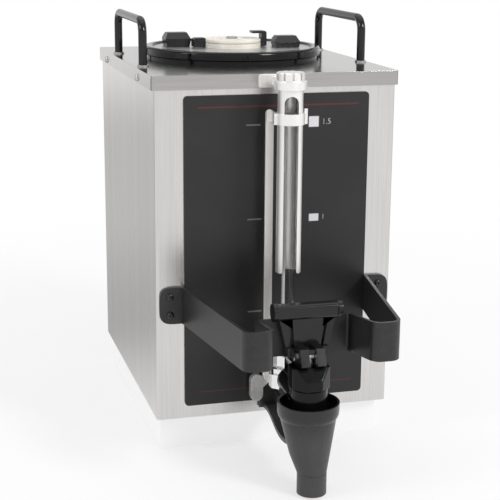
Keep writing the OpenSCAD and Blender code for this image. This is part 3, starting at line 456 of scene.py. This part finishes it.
def panel_finish():
    material, shader, place = finish("panel_black", (0.010, 0.010, 0.011), 0.0, 0.34,
                                     Specular_IOR_Level=0.36)
    grain = place.noise(2600.0, detail=2.0)
    cloud = place.noise(14.0, detail=3.0)
    x, z = place.axis(0), place.axis(2)

    def past(along, limit):
        return along.step(limit - MARK_SOFTNESS, limit + MARK_SOFTNESS)

    def inside(x_low, x_high, z_low, z_high):
        wide = past(x, x_low) * (1 - past(x, x_high))
        return wide * past(z, z_low) * (1 - past(z, z_high))

    def printed(marks):
        found = inside(*marks[0])
        for mark in marks[1:]:
            found = found + inside(*mark)
        return found

    dashes, squares, red_lines = printed(DASHES), printed(SQUARES), printed(RED_LINES)
    color = tone_of(grain * 0.6 + cloud * 0.4, 0.35, 0.65,
                    (0.014, 0.014, 0.015), (0.023, 0.022, 0.024))
    color = (red_lines * 0.8).mix(color, (0.12, 0.020, 0.019, 1.0))
    color = (dashes * 0.30).mix(color, (0.55, 0.55, 0.55, 1.0))
    color = (squares * 0.92).mix(color, (0.72, 0.70, 0.74, 1.0))
    plug(shader, Base_Color=color, Roughness=grain * 0.14 + cloud * 0.08 + 0.24,
         Normal=bump(grain, 0.25, 0.00004))
    return material


dress("front_panel", panel_finish())
PAINT_DEPTH = 0.00004
PAINT_LIFT = 0.00003


def printed_number(name, words, place, height, material):
    """Figure in thin paint on the panel's face, its lower left corner at a place."""
    curve = bpy.data.curves.new(name, "FONT")
    curve.body = words
    curve.size = height
    curve.extrude = PAINT_DEPTH
    curve.resolution_u = 3
    drawn = bpy.data.objects.new(name + "_outline", curve)
    bpy.context.scene.collection.objects.link(drawn)
    bpy.context.view_layer.update()
    evaluated = drawn.evaluated_get(bpy.context.evaluated_depsgraph_get())
    mesh = bpy.data.meshes.new_from_object(evaluated)
    bpy.data.objects.remove(drawn)
    mesh.transform(Matrix.Translation(place) @ Matrix.Rotation(math.radians(90.0), 4, "X"))
    mesh.name = name
    mesh.materials.clear()
    mesh.materials.append(material)
    piece = bpy.data.objects.new(name, mesh)
    bpy.context.scene.collection.objects.link(piece)
    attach(piece, "server")


paint, paint_shader, paint_place = finish("number_paint", (0.42, 0.41, 0.43), 0.0, 0.5)
wear = paint_place.noise(700.0, detail=3.0)
plug(paint_shader, Base_Color=tone_of(wear, 0.3, 0.7, (0.20, 0.20, 0.21), (0.46, 0.45, 0.47)),
     Roughness=wear * 0.2 + 0.4)
paint_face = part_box("front_panel")[0].y - PAINT_LIFT
printed_number("upper_number", "1.5", place=(0.0420, paint_face, 0.2738), height=0.0074,
               material=paint)
printed_number("lower_number", "1", place=(0.0432, paint_face, 0.1850), height=0.0068,
               material=paint)


# --- Handles, collar and lid ------------------------------------------------
# The bail handles are steel rod dipped in black plastic. The collar is a
# glossy black moulding, the lid a brushed disc with an ivory brewing port.


def black(name, shade, roughness, speckle=0.3, gloss=0.5):
    """Black plastic with a fine moulded grain, faint dust and handling marks."""
    material, shader, place = finish(name, (shade, shade, shade), 0.0, roughness,
                                     Specular_IOR_Level=gloss)
    grain = place.noise(900.0, detail=3.0)
    marks = place.noise(38.0, detail=5.0, rough=0.65)
    color = tone_of(grain * 0.5 + marks * 0.5, 0.35, 0.68, (shade * 0.7,) * 3, (shade * 1.5,) * 3)
    plug(shader, Base_Color=color, Roughness=marks * 0.14 + grain * 0.06 + (roughness - 0.10),
         Normal=bump(grain, speckle, 0.00005))
    return material


handle_black = black("handle_black", shade=0.006, roughness=0.15, speckle=0.12, gloss=0.40)
gloss_black = black("gloss_black", shade=0.004, roughness=0.12, speckle=0.04, gloss=0.32)
grip_black = black("grip_black", shade=0.008, roughness=0.26, speckle=0.3, gloss=0.40)
tap_black = black("tap_black", shade=0.004, roughness=0.13, speckle=0.06, gloss=0.22)
# painted light: the lever gets a lighter, more reflective copy of the tap's black, so it renders
# brighter
brightened_lever_black = black("tap_black", shade=0.007, roughness=0.17, speckle=0.08, gloss=0.42)
band_black = black("band_black", shade=0.019, roughness=0.36, speckle=0.3, gloss=0.42)
for node_name in ("handle_left", "handle_right"):
    dress(node_name, handle_black)
dress("lid_collar", gloss_black)
softened("lid_grip_left", "left_grip", grip_black, 0.0006)
softened("lid_grip_right", "right_grip", grip_black, 0.0006)
softened("dial_lug", "rim_lug", grip_black, 0.0006)
softened("dial_hook", "rim_hook", grip_black, 0.0005)
lid_steel = steel("lid_steel", (0.54, 0.53, 0.52), (0.68, 0.67, 0.66), 0.34, LEFT_TO_RIGHT)
dress("lid_plate", lid_steel)


def ivory_finish():
    material, shader, place = finish("port_ivory", (0.80, 0.76, 0.68), 0.0, 0.38)
    cloud = place.noise(60.0, detail=4.0)
    grain = place.noise(1500.0, detail=2.0)
    plug(shader, Base_Color=tone_of(cloud, 0.3, 0.7, (0.74, 0.69, 0.60), (0.86, 0.83, 0.76)),
         Roughness=cloud * 0.2 + 0.30, Normal=bump(grain, 0.15, 0.00004))
    return material


port_ivory = ivory_finish()
softened("brew_port", "port_moulding", port_ivory, 0.0005)
softened("port_dial", "dial_moulding", port_ivory, 0.0006)
dress("port_clamp_ring", port_ivory)


def seal_finish():
    material, shader, place = finish("seal_silicone", (0.60, 0.52, 0.42), 0.0, 0.55)
    cloud = place.noise(120.0, detail=4.0)
    plug(shader, Base_Color=tone_of(cloud, 0.3, 0.7, (0.50, 0.42, 0.33), (0.66, 0.58, 0.48)),
         Roughness=cloud * 0.2 + 0.45, Normal=bump(cloud, 0.2, 0.0001))
    return material


seal_silicone = seal_finish()
for node_name in ("lid_gasket", "shank_seal", "gauge_seals", "seat_cup"):
    dress(node_name, seal_silicone)


def felt_finish():
    material, shader, place = finish("insulation_felt", (0.62, 0.52, 0.26), 0.0, 0.95)
    fibre = place.noise(420.0, (1.0, 1.0, 0.25), detail=6.0, rough=0.7)
    plug(shader, Base_Color=tone_of(fibre, 0.3, 0.7, (0.50, 0.40, 0.16), (0.74, 0.64, 0.36)),
         Roughness=fibre * 0.1 + 0.88, Normal=bump(fibre, 0.8, 0.0008))
    return material


dress("insulation", felt_finish())

# --- Sight gauge ------------------------------------------------------------
# A glass tube in a slotted, polished stainless shield. A flat stay with an eye
# on the shank carries its clip; a chromed block and a packing nut hold its foot.

gauge_steel = steel("gauge_steel", (0.80, 0.79, 0.775), (0.92, 0.905, 0.89), 0.34, UP_AND_DOWN,
                    depth=0.15, metallic=0.80)
# painted light: the stay gets a less metallic copy of the gauge steel, so it renders brighter
brightened_stay_steel = steel("gauge_steel", (0.80, 0.79, 0.775), (0.92, 0.905, 0.89), 0.38, UP_AND_DOWN,
                   depth=0.15, metallic=0.45)
chrome = steel("chrome_fittings", (0.72, 0.72, 0.72), (0.86, 0.86, 0.865), 0.09, NO_GRAIN,
               depth=0.05)
# painted light: the wing nut gets a paler, less metallic copy of the chrome, so it renders
# brighter; its mottling is a bump
brightened_nickel = steel("chrome_fittings", (0.70, 0.69, 0.68), (0.94, 0.93, 0.92), 0.33, (0.3, 0.3, 0.3),
               depth=0.9, metallic=0.7)
dress("tap_stem", gauge_steel)
softened("gauge_stay", "flat_stay", brightened_stay_steel, 0.0004)
softened("gauge_shield", "slotted_shield", gauge_steel, 0.0003)
gauge_axis = (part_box("gauge_glass")[0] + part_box("gauge_glass")[1]) / 2


def clip_ears(shape):
    """Two flat ears where the clip is pinched on the shield, the right one taller."""
    width, depth, taller = 0.0030, 0.0016, 0.0035
    out, forward = 0.0138, 0.0015
    low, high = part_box("gauge_clip")
    for side, top in ((-1, high.z), (1, high.z + taller)):
        ear = bmesh.ops.create_cube(shape, size=1.0)["verts"]
        middle = (side * out, gauge_axis.y - forward, (top + low.z) / 2)
        bmesh.ops.scale(shape, vec=(width, depth, top - low.z), verts=ear)
        bmesh.ops.translate(shape, vec=middle, verts=ear)


softened("gauge_clip", "shield_clip", gauge_steel, 0.0003, form=clip_ears)
softened("gauge_top_bracket", "head_bracket", gauge_steel, 0.0004)


def turn_slots(shape):
    """Turns the cap 9 degrees on the gauge's axis."""
    turned = Matrix.Rotation(math.radians(-9.0), 3, "Z")
    bmesh.ops.rotate(shape, cent=(0.0, gauge_axis.y, 0.0), matrix=turned, verts=shape.verts)


softened("gauge_cap", "castellated_cap", gauge_steel, 0.0003, form=turn_slots)
dress("tap_shank", chrome)
softened("wing_nut", "eared_nut", brightened_nickel, 0.0008)
softened("gauge_base", "gauge_foot", chrome, 0.0006)
softened("gauge_packing_nut", "packing_nut", chrome, 0.0006)


def glass_finish():
    """Tube with a film of scale inside, and a silvered stripe along its left that is a painted
    highlight.
    """
    material, shader, place = finish("gauge_glass", (0.95, 0.95, 0.955), 0.0, 0.06,
                                     Transmission_Weight=1.0, IOR=1.45)
    cloud = place.noise(90.0, (1.0, 1.0, 0.08), detail=3.0)
    # the painted highlight stripe faces a little to the left, by the angle with this cosine and
    # sine
    cosine, sine = 0.966, 0.259
    across = place.axis(0) * cosine + (place.axis(1) - gauge_axis.y) * -sine
    front = (place.axis(1) - gauge_axis.y) * -cosine - place.axis(0) * sine
    left, right, in_front = (-0.0056, -0.0053), (-0.0032, -0.0028), (0.0, 0.0004)
    highlight_stripe = across.step(*left) * (1 - across.step(*right)) * front.step(*in_front)
    plug(shader, Roughness=cloud * 0.14 + 0.03 + highlight_stripe * 0.42, Metallic=highlight_stripe,
         Base_Color=tone_of(cloud, 0.3, 0.7, (0.93, 0.93, 0.935), (0.99, 0.99, 0.99)))
    return material


dress("gauge_glass", glass_finish())

# --- Tap, spout guard and band ----------------------------------------------
# Glossy black nylon tap with a lever, a funnel-shaped guard below it, and a
# satin black strap that is screwed to the front as a bumper.

softened("tap_body", "tap_barrel", tap_black, 0.0012)
softened("tap_bonnet", "bonnet_nut", tap_black, 0.0018)
softened("tap_lever", "lever_moulding", brightened_lever_black, 0.0014)


def guard_finish():
    """Satin below, and polished black towards the rim and on the arm."""
    material, shader, place = finish("guard_black", (0.03, 0.03, 0.03), 0.0, 0.42)
    grain = place.noise(900.0, detail=3.0)
    marks = place.noise(38.0, (1.0, 1.0, 0.3), detail=5.0, rough=0.65)
    satin_to, polished_from = 0.010, 0.042
    upper = place.axis(2).step(satin_to, polished_from)
    satin = tone_of(grain * 0.5 + marks * 0.5, 0.35, 0.68,
                    (0.030, 0.030, 0.031), (0.048, 0.048, 0.048))
    plug(shader, Base_Color=(upper * 0.85).mix(satin, (0.006, 0.006, 0.006, 1.0)),
         Roughness=marks * 0.14 + 0.34 - upper * 0.18, Normal=bump(grain, 0.3, 0.00005))
    return material


guard_black = guard_finish()
softened("spout_guard", "guard_moulding", guard_black, 0.0004, corner=40.0)


def square_off_pads(shape):
    """The round ends of the pads become upright rectangles with a bowed outer side."""
    middle = Vector((0.0918, 0.0, 0.111))
    half_width, half_height, squareness = 0.019, 0.0174, 4
    near, pad_front, round_from = 0.0003, -0.146, -0.0046
    for vert in shape.verts:
        across, up = abs(vert.co.x) - middle.x, vert.co.z - middle.z
        on_rim = abs(math.hypot(across, up) - half_width) < near
        if on_rim and vert.co.y > pad_front and across > round_from:
            angle = math.atan2(up, across)
            wide, tall = abs(math.cos(angle)) / half_width, abs(math.sin(angle)) / half_height
            reach = (wide ** squareness + tall ** squareness) ** (-1 / squareness)
            vert.co.x = math.copysign(middle.x + reach * math.cos(angle), vert.co.x)
            vert.co.z = middle.z + reach * math.sin(angle)


softened("guard_band", "band_moulding", band_black, 0.0007, form=square_off_pads)

low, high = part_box("guard_screws")
band_screws = bmesh.new()
for side in (-1, 1):
    for height in (low.z + SCREW_HEAD, high.z - SCREW_HEAD):
        place = (side * (high.x - SCREW_HEAD), low.y + SCREW_RISE, height)
        drive_screw(band_screws, place, way=(0, -1, 0), length=0.009)
bmesh.ops.recalc_face_normals(band_screws, faces=band_screws.faces)
screw_black = black("screw_black", shade=0.012, roughness=0.18, speckle=0.1)
settle(band_screws, "band_screws", "server", screw_black, "guard_screws")
